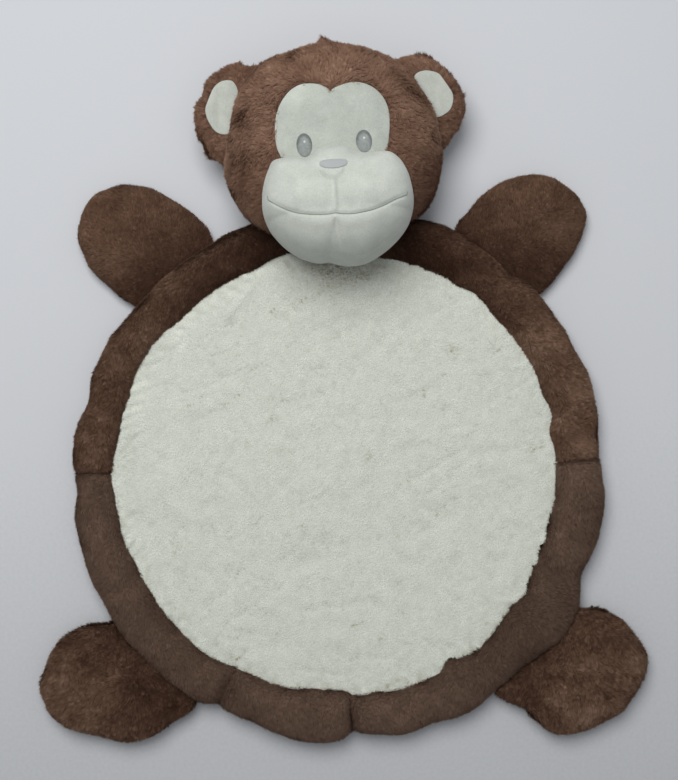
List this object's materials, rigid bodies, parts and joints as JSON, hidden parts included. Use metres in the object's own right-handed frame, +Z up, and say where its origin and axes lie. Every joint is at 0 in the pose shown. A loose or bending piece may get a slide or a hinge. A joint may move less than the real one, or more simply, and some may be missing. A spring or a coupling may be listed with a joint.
{
  "type": "plush play mat",
  "caption": "Plush monkey play mat lying flat: a padded cream disc in a stuffed brown fur ring, with flat arms, rounder feet, and a stuffed head with ears and a smooth cream face and muzzle.",
  "frame": {"origin": "centre of the padded belly disc's underside, on the surface that the mat lies on", "axes": "+Z up off the surface, +Y from the belly towards the head, +X towards the right side as seen from above with the head at the top"},
  "size_m": [0.6722, 0.7703, 0.1616],
  "materials": {
    "brown_fur": "short fuzzy pile",
    "cream_plush": "short curly pile",
    "cream_velour": "smooth velour",
    "grey_thread": "satin stitch embroidery",
    "pale_thread": "satin stitch embroidery"
  },
  "bodies": {
    "root": {"ring_panel_upper_right": "brown_fur", "ring_panel_upper_left": "brown_fur", "ring_panel_lower_left": "brown_fur", "ring_panel_lower_right": "brown_fur", "arm_left": "brown_fur", "arm_right": "brown_fur", "foot_left": "brown_fur", "foot_right": "brown_fur", "head": "brown_fur", "ear_left": "brown_fur", "ear_right": "brown_fur", "muzzle": "cream_velour", "face_panel": "cream_velour", "ear_patch_left": "cream_velour", "ear_patch_right": "cream_velour", "belly_disc": "cream_plush", "eye_left": "grey_thread", "eye_right": "grey_thread", "nose": "pale_thread"}
  },
  "joints": []
}
